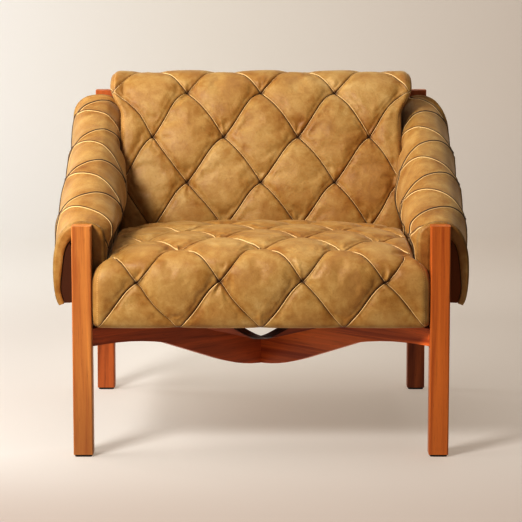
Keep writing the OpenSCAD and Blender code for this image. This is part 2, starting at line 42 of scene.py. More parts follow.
# ---------------------------------------------------------------- sizes in millimetres, most as in part.scad
# A half is half a width, a waist the half width between the posts or the saddles, a row the height of half a
# diamond, and a phase the place along an outline where a row of tufts lies.
FRAME_D = 807
REAR_RAKE = 36
REAR_H = 770
SEAT_PROUD = 11
Y_FRONT = -(FRAME_D + REAR_RAKE - SEAT_PROUD) / 2
POST_W = 44
Y_REAR = Y_FRONT + FRAME_D - POST_W
POST_X = 400
INNER_X = 378
RAKE = math.atan(REAR_RAKE / REAR_H)
DECK_Z = 291
DECK_TOP = 331
SOFT_GAP = 0.3
STRAPS = 4
RAIL_SET_BACK = 8
SEAT_Z = DECK_TOP + STRAPS + SOFT_GAP
TUFT_W = 185
SEAT_ROW = 112
SEAT_TOP = 486
SEAT_D = 582
SEAT_HALF = INNER_X - 0.5
SEAT_WAIST = SEAT_HALF - 30.5
SEAT_SHOULDER = 26
SEAT_FALL = 24
SEAT_BACK_Y = Y_FRONT + SEAT_D - SEAT_PROUD
LIP_Y = Y_FRONT + POST_W + 6
BACK_TOP = 824
BACK_ROW = 116
BACK_PHASE = 447
BACK_CORNER = INNER_X
BACK_WAIST = BACK_CORNER - 26
ARM_Z = 524
ARM_SLOPE = 0.31
ARM_Y = Y_FRONT + 50
ARM_HALF = 72.5
ARM_PAD = 28
ARM_RAIL_W = 30
ARM_ROW = 170
FLAP_OUT = 184
TUCK = 105
TUCK_OUT = POST_X - SEAT_WAIST - 2
SADDLE_EDGE = 17
SADDLE_HEM = 9
SADDLE_FRONT = Y_FRONT + POST_W + 1.6
SADDLE_BACK = Y_REAR + 24
SEAM_PITCH = 140.0
MM = 0.001

# How finely the leather is laid out, and how it is blown up as cloth
CELLS = 30
SADDLE_CELLS = 120
UNDER_POINTS = 48
SADDLE_UNDER_POINTS = 60
ROUND_R = 24
SADDLE_ROUND = 7
CLOTH_EVERY = 3
CLOTH_FRAMES = 20
CLOTH_STRETCH = 0.02
CLOTH_PRESSURE = 1.5
CLOTH_CAP = 6


# ---------------------------------------------------------------- curves
def ease(a, b, v):
    t = np.clip((v - a) / (b - a), 0, 1)
    return t * t * (3 - 2 * t)


def mix(a, b, t):
    return a + (b - a) * t


def spline(points, n):
    """Catmull-Rom curve through the points, n steps to each span."""
    p = np.asarray(points, float)
    t = (np.arange(n) / n)[:, None]
    out = []
    for i in range(len(p) - 1):
        a, b, c, d = p[max(i - 1, 0)], p[i], p[i + 1], p[min(i + 2, len(p) - 1)]
        square, cube = 2 * a - 5 * b + 4 * c - d, 3 * b - a - 3 * c + d
        out.append(0.5 * (2 * b + (c - a) * t + square * t**2 + cube * t**3))
    return np.vstack(out + [p[-1:]])


class Line:
    """A curve in a plane by its arc length, with softened normals on one side."""

    def __init__(self, points, side=1, n=24, soften=9):
        self.p = spline(points, n)
        self.s = np.concatenate([[0], np.cumsum(np.hypot(*np.diff(self.p, axis=0).T))])
        self.length = self.s[-1]
        self.even = np.linspace(0, self.length, int(self.length) + 2)
        way = np.gradient(self.at(self.even), axis=0)
        normal = np.stack([-way[:, 1], way[:, 0]], 1) * side
        kernel = np.hanning(2 * soften + 1)
        padded = np.pad(normal, ((soften, soften), (0, 0)), "edge")
        normal = np.stack([np.convolve(padded[:, k], kernel, "valid") for k in (0, 1)], 1)
        self.n = normal / np.linalg.norm(normal, axis=1, keepdims=True)

    def at(self, s):
        return np.stack([np.interp(s, self.s, self.p[:, k]) for k in (0, 1)], -1)

    def normal(self, s):
        return np.stack([np.interp(s, self.even, self.n[:, k]) for k in (0, 1)], -1)


# ---------------------------------------------------------------- diamond tufting
def pulled(u, v, hold):
    """Lattice places drawn towards the seams, so that the mesh is finest where the leather folds in."""
    both = []
    for a in (u + v, u - v):
        m = np.round(a)
        fine = m + np.sign(a - m) * 0.5 * (2 * np.abs(a - m)) ** 1.5
        both.append(mix(a, fine, hold))
    return (both[0] + both[1]) / 2, (both[0] - both[1]) / 2


class Tufts:
    """Diamond pillows on the lattice places u, v, whose tufts lie wide and high apart in mm."""

    def __init__(self, u, v, wide, high):
        self.pitch = 1 / math.hypot(1 / wide, 1 / high)
        self.m, self.n = np.round(u + v), np.round(u - v)
        self.e1, self.e2 = u + v - self.m, u - v - self.n
        self.d1, self.d2 = np.abs(self.e1) * self.pitch, np.abs(self.e2) * self.pitch
        self.dx, self.dy = (self.e1 + self.e2) / 2 * wide, (self.e1 - self.e2) / 2 * high
        self.r = np.hypot(self.dx, self.dy)
        self.seam = np.minimum(self.d1, self.d2)

    def crown(self, power):
        rise = [np.sin(np.clip(d / self.pitch, 0, 0.5) * math.pi) ** power for d in (self.d1, self.d2)]
        return rise[0] * rise[1]

    def lips(self, height):
        """On one side of each seam a folded edge stands proud, and the other side dives under it."""
        total = 0
        for e, d in ((self.e1, self.d1), (self.e2, self.d2)):
            side = np.where(e > 0, 1.0, -0.8)
            total = total + side * height * np.exp(-((d - 1.6) / 2.2) ** 2)
        return total - 1.5 * height * np.exp(-((self.seam / 0.8) ** 2))

    def folds(self, seed, count, height, up=0.75):
        """Short gathers that run out from each tuft, mostly upwards."""
        total = np.zeros_like(self.r)
        rng = np.random.default_rng(seed)
        theta = np.arctan2(self.dy, self.dx)
        tufts = zip(self.m.astype(int).ravel().tolist(), self.n.astype(int).ravel().tolist())
        for key in sorted(set(tufts)):
            rnd = rng.random((count, 5))
            here = (self.m == key[0]) & (self.n == key[1])
            r, t = self.r[here], theta[here]
            sum_here = 0
            for q in rnd:
                angle = math.radians(48 + 84 * q[0]) * (1 if q[1] < up else -1)
                off = (t - angle + math.pi) % (2 * math.pi) - math.pi
                across = r * np.sin(np.clip(off, -1.5, 1.5))
                reach = 26 + 34 * q[2]
                width = 2.4 + 1.6 * q[3] + 0.04 * r
                along = ease(2, 10, r) * (1 - ease(reach * 0.4, reach, r)) * (np.abs(off) < 1.4)
                beside = (across - 1.9 * width) / width
                ripple = np.exp(-((across / width) ** 2)) - 0.6 * np.exp(-(beside**2))
                sum_here = sum_here + (0.45 + 0.9 * q[4]) * along * ripple
            total[here] = sum_here
        return total * height


def swell(a, b, seed, size, height):
    """Slow waves over the leather, so that no two pillows are the same."""
    rng = np.random.default_rng(seed)
    total = 0
    for _ in range(9):
        way, phase = rng.random() * math.pi, rng.random() * 2 * math.pi
        scale = size * (0.4 + 1.1 * rng.random())
        total = total + np.sin((a * math.cos(way) + b * math.sin(way)) * 2 * math.pi / scale + phase)
    return total * height / 3


# ---------------------------------------------------------------- meshes
def skin(name, face, under, link, rings, widths, values, turned):
    """A closed skin over two grids of points (sections, places): the face, and under it a coarser one that
    closes it below. Both ends are panels of rings from the face to the under points that link names, and
    widths, where it is given, gives their half width at y, z. Where turned holds, a quad of the face is split
    along its other diagonal. Each of the values is (its grid on the face, what the rest of the skin has)."""
    ns, nf = face.shape[:2]
    nu = under.shape[1]
    base = ns * nf
    i, j = np.meshgrid(np.arange(ns - 1), np.arange(nf - 1), indexing="ij")
    a = (i * nf + j).ravel()
    b, c, d = a + nf, a + nf + 1, a + 1
    flip = turned[:-1, :-1].ravel()[:, None]
    one = np.where(flip, np.stack([a, b, d], 1), np.stack([a, b, c], 1))
    two = np.where(flip, np.stack([b, c, d], 1), np.stack([a, c, d], 1))
    faces = np.vstack([one, two]).tolist()
    i, j = np.meshgrid(np.arange(ns - 1), np.arange(nu - 1), indexing="ij")
    a = (base + i * nu + j).ravel()
    faces += np.stack([a, a + 1, a + nu + 1, a + nu], 1).tolist()
    i = np.arange(ns - 1)
    for fj, uj in ((0, 0), (nf - 1, nu - 1)):
        f, g = i * nf + fj, base + i * nu + uj
        faces += np.stack([f, g, g + nu, f + nf], 1).tolist()
    verts = [face.reshape(-1, 3), under.reshape(-1, 3)]
    count = base + ns * nu
    for section in (0, ns - 1):
        start, stop = face[section], under[section][link]
        previous = section * nf + np.arange(nf)
        for k in range(1, rings + 1):
            if k < rings:
                points = mix(start, stop, k / rings)
                if widths is not None:
                    points[:, 0] = np.sign(points[:, 0]) * widths(points[:, 1], points[:, 2])
                verts.append(points)
                here = count + np.arange(nf)
                count += nf
            else:
                here = base + section * nu + link
            for q in range(nf - 1):
                corners = (previous[q], previous[q + 1], here[q + 1], here[q])
                loop = list(dict.fromkeys(int(x) for x in corners))
                if len(loop) > 2:
                    faces.append(loop)
            previous = here
    points = np.vstack(verts) * MM
    mesh = bpy.data.meshes.new(name)
    mesh.from_pydata(points.tolist(), [], faces)
    for key, (grid, rest) in values.items():
        data = np.full(len(points), rest, np.float32)
        data[:base] = grid.ravel()
        mesh.attributes.new(key, "FLOAT", "POINT").data.foreach_set("value", data)
    work = bmesh.new()
    work.from_mesh(mesh)
    bmesh.ops.recalc_face_normals(work, faces=work.faces)
    work.to_mesh(mesh)
    work.free()
    mesh.polygons.foreach_set("use_smooth", [True] * len(mesh.polygons))
    mesh.update()
    made = bpy.data.objects.new(name, mesh)
    scene.collection.objects.link(made)
    return made


def filled(grid, pinned):
    """The leather as cloth that is a little longer than its place: it is pinned along its seams, and the
    filling blows it up. Returns how far each point of the grid goes, in mm."""
    picks = [np.unique(np.append(np.arange(0, n, CLOTH_EVERY), n - 1)) for n in grid.shape[:2]]
    start = grid[np.ix_(*picks)]
    ns, nf = start.shape[:2]
    i, j = np.meshgrid(np.arange(ns - 1), np.arange(nf - 1), indexing="ij")
    a = (i * nf + j).ravel()
    faces = np.stack([a, a + nf, a + nf + 1, a + 1], 1)
    mesh = bpy.data.meshes.new("cloth")
    mesh.from_pydata((start.reshape(-1, 3) * MM).tolist(), [], faces.tolist())
    made = bpy.data.objects.new("cloth", mesh)
    scene.collection.objects.link(made)
    group = made.vertex_groups.new(name="pinned")
    group.add(np.flatnonzero(pinned[np.ix_(*picks)].ravel()).tolist(), 1.0, "REPLACE")
    cloth = made.modifiers.new("cloth", "CLOTH")
    rules = cloth.settings
    rules.vertex_group_mass = "pinned"
    rules.quality = 6
    rules.tension_stiffness = rules.compression_stiffness = 20
    rules.shear_stiffness = 8
    rules.bending_stiffness = 0.3
    rules.shrink_min = -CLOTH_STRETCH
    rules.use_pressure = True
    rules.uniform_pressure_force = CLOTH_PRESSURE
    rules.effector_weights.gravity = 0
    cloth.collision_settings.use_collision = False
    cloth.point_cache.frame_start, cloth.point_cache.frame_end = 1, CLOTH_FRAMES
    for frame_number in range(1, CLOTH_FRAMES + 1):
        scene.frame_set(frame_number)
    moved = made.evaluated_get(bpy.context.evaluated_depsgraph_get()).data
    ends = np.empty(ns * nf * 3, np.float32)
    moved.vertices.foreach_get("co", ends)
    move = ends.reshape(ns, nf, 3) * 1000 - start
    bpy.data.objects.remove(made)
    scene.frame_set(1)
    size = np.linalg.norm(move, axis=2, keepdims=True)
    move = move * np.minimum(1, CLOTH_CAP / np.maximum(size, 1e-6))
    sections, places = np.arange(grid.shape[0]), np.arange(grid.shape[1])
    rows = [[np.interp(sections, picks[0], move[:, q, k]) for q in range(nf)] for k in range(3)]
    rows = np.stack(rows, -1).transpose(1, 0, 2)
    every = [[np.interp(places, picks[1], rows[r, :, k]) for r in sections] for k in range(3)]
    return np.stack(every, -1)


def stations(half):
    """Places across a cushion: on the lattice of the tufts, then closer together round the edge."""
    inner = np.arange(0, half - ROUND_R, TUFT_W / 2 / CELLS)
    turn = [half - ROUND_R * (1 - math.sin(a)) for a in np.linspace(0.12, math.pi / 2, 12)]
    side = np.concatenate([inner, [x for x in turn if x > inner[-1] + 0.6]])
    return np.concatenate([-side[:0:-1], side])


def cushion(name, outline, under_line, partner, half, width_of, fall, phase, row, calm, seed, tail, bow):
    """A tufted cushion, laid out along its outline from the lower front edge and across its width. The tufts
    lie on rows that are row apart, one of them at phase along the outline, and fade over its last part, calm
    long. Its edges are rounded, and towards the outline's end only by the share tail. Its seams bow up by
    what bow gives."""
    x = stations(half)
    step = row / CELLS
    first = phase - math.floor((phase - 2) / step) * step
    s = np.concatenate([[0], np.arange(first, outline.length - 1.5, step), [outline.length]])
    edge = np.repeat((half - np.abs(x))[:, None], len(s), 1)
    ends = np.repeat(np.minimum(s, outline.length - s)[None, :], len(x), 0)
    u, v = np.meshgrid(x / TUFT_W, (s - phase) / (2 * row), indexing="ij")
    u, v = pulled(u, v, ease(0, 64, edge) * ease(0, 64, ends))
    t = Tufts(u, v, TUFT_W, 2 * row)
    arc = phase + v * 2 * row
    rise, dip = bow(arc, u * TUFT_W)
    rise = rise * np.cos(math.pi * t.e2) ** 2 * np.sin(math.pi * ((u + v) % 1) ** 2.2)
    dip = dip * np.cos(math.pi * t.e1) ** 2 * np.sin(math.pi * ((u - v) % 1))
    place = np.clip(arc + (rise + dip) * ease(10, 90, ends), 0, outline.length)
    place[:, 0], place[:, -1] = 0, outline.length
    across = u * TUFT_W - 0.25 * rise * ease(0, 60, edge)
    near = np.exp(-((t.r / 40) ** 2))
    sink = (8 + 10.5 * near) * (1 - t.crown(0.38)) + 3 * np.exp(-t.r / 5)
    share = ease(0, 40, arc) * ease(0, calm, outline.length - arc)
    fade = (0.22 + 0.78 * share) * ease(0, 50, edge)
    relief = (t.lips(0.9) + t.folds(seed, 5, 1.9)) * ease(0, 30, edge) * (0.25 + 0.75 * share)
    relief = relief + swell(across, place, seed + 1, 200, 1.2) * ease(0, 40, edge) * ease(0, 30, ends)
    turn = np.clip(1 - edge / ROUND_R, 0, 1)
    inset = ROUND_R * (1 - np.sqrt(1 - turn**2)) * mix(tail, 1, ease(20, 130, outline.length - place))
    seam_in = 1.6 * np.exp(-(((edge - 9) / 2.2) ** 2))
    ends_in = 6 * np.clip(1 - ends / 14, 0, 1) ** 2
    out = relief - sink * fade - inset - ends_in - seam_in
    p = outline.at(place) + outline.normal(place) * out[..., None]
    under_s = np.linspace(0, under_line.length, UNDER_POINTS)
    pull = under_line.normal(under_s)
    q = under_line.at(under_s)[None] - pull[None] * (inset[:, :1] * 0.45)[..., None]

    def spread(a, points):
        y, z = points[..., 0], points[..., 1]
        share_in = 1 - width_of(y, z) / half
        reach = np.abs(a) / half
        return np.stack([a * (1 - share_in * reach**3), y, z - fall(z) * reach**3], -1)

    face, under = spread(across, p), spread(np.repeat(x[:, None], UNDER_POINTS, 1), q)
    pinned = (t.seam < 1.5) | (edge < 12) | (ends < 12)
    loose = (0.55 + 0.45 * np.exp(-((t.r / 48) ** 2))) * ease(8, 40, edge) * ease(8, 40, ends)
    loose = loose * (0.35 + 0.65 * share)
    face = face + filled(face, pinned) * loose[..., None]
    link = np.abs(under_s[None, :] - partner(p[0])[:, None]).argmin(1)
    link = np.maximum.accumulate(link)
    link[0], link[-1] = 0, UNDER_POINTS - 1
    values = {
        "lattice_u": (u, 0.5), "lattice_v": (v, 0.0), "lift": (t.crown(0.46), 0.6),
        "tuft_mm": (np.minimum(t.r, 90), 90), "edge_mm": (np.minimum(edge, 60), 60), "arc_mm": (arc, 0),
        "hide": (np.ones_like(u), 0.0)}
    return skin(name, face, under, link, 10, width_of, values, t.d1 < t.d2)


# Seat: its outline from the lower front edge over the crown to the rear, from Y_FRONT and SEAT_Z. The points
# above LIP_TOP go up with SEAT_TOP.
SEAT_CROWN = 151
LIP_TOP = 100
LIP_SHARE = 0.16
seat_points = [
    (-2, -44), (-10, -20), (-11, 20), (-11, 55), (-6, 88), (7, 112), (30, 129), (62, 139),
    (130, 147), (220, SEAT_CROWN), (320, SEAT_CROWN), (420, 148), (500, 138), (548, 118), (568, 84),
    (571, 40)]
lifted = SEAT_TOP - SEAT_Z - SEAT_CROWN
seat_line = Line([(Y_FRONT + a, SEAT_Z + b + (lifted if b > LIP_TOP else 0)) for a, b in seat_points])
seat_below = Line([
    (LIP_Y - 14, SEAT_Z - 44), (LIP_Y, SEAT_Z - 38), (LIP_Y, SEAT_Z), (mix(LIP_Y, SEAT_BACK_Y, 0.5), SEAT_Z),
    (SEAT_BACK_Y - 40, SEAT_Z), (SEAT_BACK_Y - 6, SEAT_Z + 2)], side=-1, soften=3)


def seat_width(y, z):
    """Half the seat's width: full before the posts, and slimmer between them."""
    shoulder = SEAT_SHOULDER * np.clip(1 - (SEAT_TOP - 6 - z) / 80, 0, 1) ** 2.2
    return mix(SEAT_HALF - shoulder, SEAT_WAIST, ease(Y_FRONT + 26, Y_FRONT + 56, y))


def seat_partner(p):
    """Arc length on the underside that lies below each point of the seat's outline."""
    y, z = p[:, 0], p[:, 1]
    on_lip, far = np.clip((z - DECK_Z) / 170, 0, 1), ease(LIP_Y, SEAT_BACK_Y, y)
    return mix(0, seat_below.length, np.where(y < LIP_Y, LIP_SHARE * on_lip, mix(LIP_SHARE, 1, far)))


def seat_bow(s, x):
    """How far the rising and the falling seams bow up the cushion: most in the row over its front edge. Low on
    the left the falling ones bow down."""
    row = ease(90, 140, s) * (1 - ease(215, 260, s))
    low = 1 - ease(80, 120, s)
    return 7 + 11 * row, 7 + 10 * row - 17 * low * (1 - ease(-150, 150, x))


seat = cushion(
    "seat_cushion", seat_line, seat_below, seat_partner, SEAT_HALF, seat_width,
    lambda z: SEAT_FALL * ease(SEAT_Z, SEAT_TOP, z), 2 * SEAT_ROW - 2, SEAT_ROW, 40, 11, 0.05, seat_bow)
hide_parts("seat_cover")

# Back: its outline from the lower front edge up and over to the rear, from SEAT_BACK_Y and the floor. Its
# rear rises along the webbing from point REAR_RISES on.
BACK_REAR_TOP = BACK_TOP - 50
REAR_RISES = 40
back_points = [
    (4, 345), (2, 380), (2, 430), (5, 480), (17, 545), (33, 605), (51, 662), (72, 718),
    (93, 768), (111, 800), (139, 818), (173, 823), (205, 817), (228, 800)]


def ridge(y):
    """Height of the arms' ridge line."""
    return ARM_Z + ARM_SLOPE * (y - ARM_Y)


def webbing_y(z):
    """The cushion's rear, against the raked webbing on its rails, which are set back between the posts."""
    return Y_REAR + (RAIL_SET_BACK - STRAPS - SOFT_GAP) / math.cos(RAKE) + z * math.tan(RAKE)


def webbing_z(above):
    """Height of the point of the webbing that is so far above the arms' ridge line."""
    return (ridge(webbing_y(0)) + above) / (1 - ARM_SLOPE * math.tan(RAKE))


back_line = Line([(SEAT_BACK_Y + a, b) for a, b in back_points])
back_below = Line(
    [(mix(SEAT_BACK_Y, webbing_y(DECK_TOP), 0.4), SEAT_Z), (webbing_y(DECK_TOP + 24) - 16, SEAT_Z)]
    + [(webbing_y(z), z) for z in (DECK_TOP + 30, 450, 560, 670, BACK_REAR_TOP)], side=-1, soften=3)


def back_width(y, z):
    """Half the back's width: slimmer between the saddles, and full over them."""
    return mix(BACK_WAIST - 2, BACK_CORNER, ease(2, 62, z - ridge(y)))


def back_partner(p):
    """Arc length on the back's rear whose point is as high over the arms' ridge line as one of its face."""
    z = np.minimum(webbing_z(p[:, 1] - ridge(p[:, 0])), BACK_REAR_TOP)
    return np.interp(z, back_below.p[REAR_RISES:, 1], back_below.s[REAR_RISES:]) * ease(330, 400, p[:, 1])


def back_bow(s, x):
    """As seat_bow: more in the upper rows, and low on the left the falling seams hardly bow."""
    high = ease(300, 380, s)
    return 8 + 4 * high, 8 + 2 * high - 9 * (1 - ease(-210, -90, x)) * (1 - ease(300, 340, s))


back = cushion(
    "back_cushion", back_line, back_below, back_partner, BACK_CORNER, back_width, lambda z: 0 * z,
    BACK_PHASE, BACK_ROW, 130, 23, 1, back_bow)
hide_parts("back_cover")


# ---------------------------------------------------------------- arm saddles
# Steps to a span of a section's outline, and how many of its points reach from the outer hem past the ridge
SECTION_STEPS = 12
PAST_RIDGE = 140


def outer_reach(y):
    """Half the saddle's width outside its ridge."""
    return mix(ARM_HALF - 7.5, ARM_HALF, ease(30, 200, y - Y_FRONT))


def inner_reach(y):
    """Half the saddle's width towards the seat, which starts narrow beside the seat's front corner."""
    return mix(42, ARM_HALF, ease(30, 130, y - Y_FRONT))


def reach_limit(y, z):
    """How far the saddle may reach in beside the back cushion."""
    front = np.interp(z, [b for _, b in back_points[:12]], [SEAT_BACK_Y + a for a, _ in back_points[:12]])
    return mix(ARM_HALF, POST_X - BACK_WAIST - 2, ease(front - 46, front - 8, y))


def saddle_section(y):
    """The saddle at y, from POST_X and the ridge: its face from outer to inner hem, and its underside."""
    out, reach, drop = outer_reach(y), inner_reach(y), ridge(y) - SEAT_TOP + TUCK
    bulge = drop - TUCK
    slim = 5 * (1 - ease(60, 230, y - Y_FRONT))
    outer = [(a * (out - slim), b * FLAP_OUT) for a, b in (
        (0.80, -0.985), (0.91, -0.90), (0.98, -0.74), (1.00, -0.55),
        (0.96, -0.36), (0.82, -0.19), (0.58, -0.07), (0.30, -0.015))]
    inner = [(-min(a, reach, reach_limit(y, ridge(y) + b)), b) for a, b in (
        (reach * 0.3, -bulge * 0.03), (reach * 0.62, -bulge * 0.16), (reach * 0.9, -bulge * 0.42),
        (reach * 0.98, -bulge * 0.72 - 2), (TUCK_OUT + 9, -bulge + 2), (TUCK_OUT, -bulge - 26),
        (TUCK_OUT, -drop + 14), (TUCK_OUT - 6, -drop + 4))]
    flat = ARM_RAIL_W / 2 + 1.5
    reach = min(reach, reach_limit(y, ridge(y) - drop / 2))
    tucked = mix(flat + 1, min(TUCK_OUT, reach) - SADDLE_EDGE, ease(50, 110, y - Y_FRONT))
    bend = -drop + TUCK + 4
    under = [
        (0.80 * out - SADDLE_HEM, -FLAP_OUT + 4), (out - SADDLE_HEM - 5, -0.8 * FLAP_OUT),
        (out - SADDLE_EDGE - 1, -0.56 * FLAP_OUT), (out - SADDLE_EDGE - 6, -0.36 * FLAP_OUT),
        (mix(flat, out - SADDLE_EDGE, 0.5), -ARM_PAD - 14), (flat, -ARM_PAD - 2), (flat - 5, -ARM_PAD),
        (-flat + 5, -ARM_PAD), (-flat, -ARM_PAD - 2),
        (-max(flat + 1.5, reach - SADDLE_EDGE - 8), min(-ARM_PAD - 8, mix(-ARM_PAD, bend, 0.5))),
        (-max(flat + 1, tucked), min(-ARM_PAD - 20, bend - 8)), (-tucked + 1, -drop + 8)]
    return Line(outer + [(0, 0)] + inner, n=SECTION_STEPS, soften=6), Line(under, n=8)


def saddle(name, side, node, seed, shift, phase):
    """A tufted saddle over an arm rail. The lattice of its tufts starts shift behind ARM_Y, and has the place
    phase on the ridge."""
    origin = ARM_Y + shift
    step = TUFT_W / SADDLE_CELLS
    start = origin - math.floor((origin - SADDLE_FRONT - 6) / step) * step
    y = np.concatenate([
        SADDLE_FRONT + np.array([0, 0.7, 2.2, 4.5]), np.arange(start, SADDLE_BACK - 8, step),
        SADDLE_BACK - np.array([4.5, 2.2, 0.7, 0])])
    row = 2 * ARM_ROW / SADDLE_CELLS
    lines = [saddle_section(a) for a in y]
    tops = [float(np.interp(0, -line.p[:PAST_RIDGE, 0], line.s[:PAST_RIDGE])) for line, _ in lines]
    n_out = int(min(tops) / row)
    n_in = int(min(line.length - top for (line, _), top in zip(lines, tops)) / row)
    w = np.arange(-n_out + 1, n_in) * row
    arcs = []
    for (line, _), top in zip(lines, tops):
        to_hem = (line.length - top - 2) / (n_in * row)
        s = top + np.where(w > 0, w * mix(1, to_hem, ease(90, n_in * row, w)), w)
        arcs.append(np.concatenate([[0, 1.2], s, [line.length - 1.2, line.length]]))
    arcs = np.array(arcs)
    nf = arcs.shape[1]
    lengths = np.array([line.length for line, _ in lines])[:, None]
    edge = np.repeat(np.minimum(y - SADDLE_FRONT, SADDLE_BACK - y)[:, None], nf, 1)
    ends = np.minimum(arcs, lengths - arcs)
    plain = np.concatenate([[w[0] - row, w[0] - row * 0.5], w, [w[-1] + row * 0.5, w[-1] + row]])
    u, v = np.meshgrid((y - origin) / TUFT_W, phase - plain / (2 * ARM_ROW), indexing="ij")
    t = Tufts(-u, -side * v, TUFT_W, 2 * ARM_ROW)
    near = np.exp(-((t.r / 40) ** 2))
    sink = (2.4 + 2.2 * near) * (1 - t.crown(0.4)) + 1.2 * np.exp(-t.r / 5)
    fade = (0.2 + 0.8 * ease(0, 34, ends)) * ease(0, 40, edge)
    relief = (t.lips(0.85) + t.folds(seed, 4, 1.0, 0.5)) * ease(0, 16, ends) * ease(0, 20, edge)
    waves = swell(y[:, None] + 0 * arcs, arcs * 0.5, seed + 2, 130, 0.9)
    relief = relief + waves * ease(0, 30, ends) * ease(0, 30, edge)
    hem = 6.5 * np.clip(1 - ends / 16, 0, 1) ** 2 + 1.0 * np.exp(-(((ends - 12) / 2) ** 2))
    rounding = SADDLE_ROUND * (1 - np.sqrt(1 - np.clip(1 - edge / SADDLE_ROUND, 0, 1) ** 2))
    # Towards the rear the left saddle's outer shoulder falls off, and the right one's swells a little
    beside_top = arcs - np.array(tops)[:, None] + 62
    lean = (10 if side < 0 else -3) * ease(560, 730, y[:, None] - Y_FRONT)
    shoulder = lean * np.exp(-((beside_top / 38) ** 2))
    out = relief - sink * fade - np.minimum(rounding + hem, SADDLE_ROUND) - shoulder
    face, below = [], []
    for k, (line, under) in enumerate(lines):
        p = line.at(arcs[k]) + line.normal(arcs[k]) * out[k][:, None]
        q = under.at(np.linspace(0, under.length, SADDLE_UNDER_POINTS))
        for points, to in ((p, face), (q, below)):
            across, up = side * (POST_X + points[:, 0]), ridge(y[k]) + points[:, 1]
            to.append(np.stack([across, np.full(len(points), y[k]), up], 1))
    link = np.round(np.arange(nf) * (SADDLE_UNDER_POINTS - 1) / (nf - 1)).astype(int)
    values = {
        "lattice_u": (-u, 0.5), "lattice_v": (-side * v, 0.0), "lift": (t.crown(0.4), 0.6),
        "tuft_mm": (np.minimum(t.r + 4, 90), 90), "edge_mm": (np.minimum(np.minimum(edge + 3, ends), 60), 60),
        "arc_mm": (arcs + y[:, None], 0), "hide": (np.ones_like(u), 0.0)}
    made = skin(name, np.array(face), np.array(below), link, 3, None, values, side * (t.d1 - t.d2) > 0)
    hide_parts(node)
    return made


def lining(name, side, node):
    """A saddle's lining: inside the outer flap its face hangs straight down beside the posts."""
    mesh = nodes[node].data.copy()
    mesh.transform(nodes[node].matrix_world)
    work = bmesh.new()
    work.from_mesh(mesh)
    bmesh.ops.remove_doubles(work, verts=work.verts, dist=1e-6)
    bmesh.ops.recalc_face_normals(work, faces=work.faces)
    work.normal_update()
    for vertex in work.verts:
        x, y, z = vertex.co * 1000
        below = ridge(y) - z
        if side * x > POST_X + POST_W / 2 - 2 and side * vertex.normal.x < -0.3:
            bulge = 1.5 * math.sin(y / 41) + 1.2 * math.sin(y / 17 + z / 60)
            flat = POST_X + POST_W / 2 + 4 + bulge * float(ease(0, 60, FLAP_OUT - below))
            vertex.co.x = side * MM * mix(side * x, min(side * x, flat), float(ease(30, 70, below)))
    work.to_mesh(mesh)
    work.free()
    made = bpy.data.objects.new(name, mesh)
    scene.collection.objects.link(made)
    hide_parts(node)
    return made


saddle_left = saddle("arm_pad_left", -1, "arm_saddle_left", 31, 25.5, 0.3)
saddle_right = saddle("arm_pad_right", 1, "arm_saddle_right", 47, 34, 0.25)
linings = [lining("lining_left", -1, "arm_lining_left"), lining("lining_right", 1, "arm_lining_right")]


# ---------------------------------------------------------------- materials
class Tree:
    """Short way to write a node material."""

    def __init__(self, name):
        self.material = bpy.data.materials.new(name)
        self.material.use_nodes = True
        self.tree = self.material.node_tree
        self.shader = self.tree.nodes["Principled BSDF"]

    def add(self, kind, **settings):
        node = self.tree.nodes.new("ShaderNode" + kind)
        for key, value in settings.items():
            if hasattr(node, key):
                setattr(node, key, value)
            else:
                node.inputs[key.replace("_", " ")].default_value = value
        return node

    def join(self, out, into):
        self.tree.links.new(out, into)

    def place(self):
        return self.add("TexCoord").outputs["Object"]

    def split(self, where):
        node = self.add("SeparateXYZ")
        self.join(where, node.inputs["Vector"])
        return node.outputs

    def noise(self, where, scale, detail=3.0, rough=0.5, distortion=0.0):
        node = self.add("TexNoise", Scale=scale, Detail=detail, Roughness=rough, Distortion=distortion)
        self.join(where, node.inputs["Vector"])
        return node.outputs["Fac"]

    def ramp(self, value, stops):
        node = self.add("ValToRGB")
        bar = node.color_ramp.elements
        while len(bar) < len(stops):
            bar.new(0.5)
        for slot, (at, colour) in zip(bar, stops):
            slot.position = at
            slot.color = (*colour, 1)
        self.join(value, node.inputs["Fac"])
        return node.outputs["Color"]

    def span(self, value, a, b, c=0.0, d=1.0, smooth=False):
        node = self.add("MapRange")
        node.clamp = True
        if smooth:
            node.interpolation_type = "SMOOTHSTEP"
        for key, number in zip(("From Min", "From Max", "To Min", "To Max"), (a, b, c, d)):
            node.inputs[key].default_value = number
        self.join(value, node.inputs["Value"])
        return node.outputs["Result"]

    def blend(self, a, b, factor, kind="MIX"):
        node = self.add("Mix")
        node.data_type = "RGBA"
        node.blend_type = kind
        sockets = {s.identifier: s for s in node.inputs}
        for source, key in ((a, "A_Color"), (b, "B_Color")):
            if isinstance(source, tuple):
                sockets[key].default_value = (*source, 1)
            else:
                self.join(source, sockets[key])
        if isinstance(factor, float):
            sockets["Factor_Float"].default_value = factor
        else:
            self.join(factor, sockets["Factor_Float"])
        return {s.identifier: s for s in node.outputs}["Result_Color"]

    def math(self, kind, a, b=0.0):
        node = self.add("Math")
        node.operation = kind
        for value, socket in ((a, node.inputs[0]), (b, node.inputs[1])):
            if isinstance(value, (int, float)):
                socket.default_value = value
            else:
                self.join(value, socket)
        return node.outputs[0]

    def value(self, name):
        return self.add("Attribute", attribute_name=name).outputs["Fac"]

    def bump(self, height, strength, distance, after=None):
        node = self.add("Bump", Strength=strength, Distance=distance)
        self.join(height, node.inputs["Height"])
        if after is not None:
            self.join(after, node.inputs["Normal"])
        return node.outputs["Normal"]


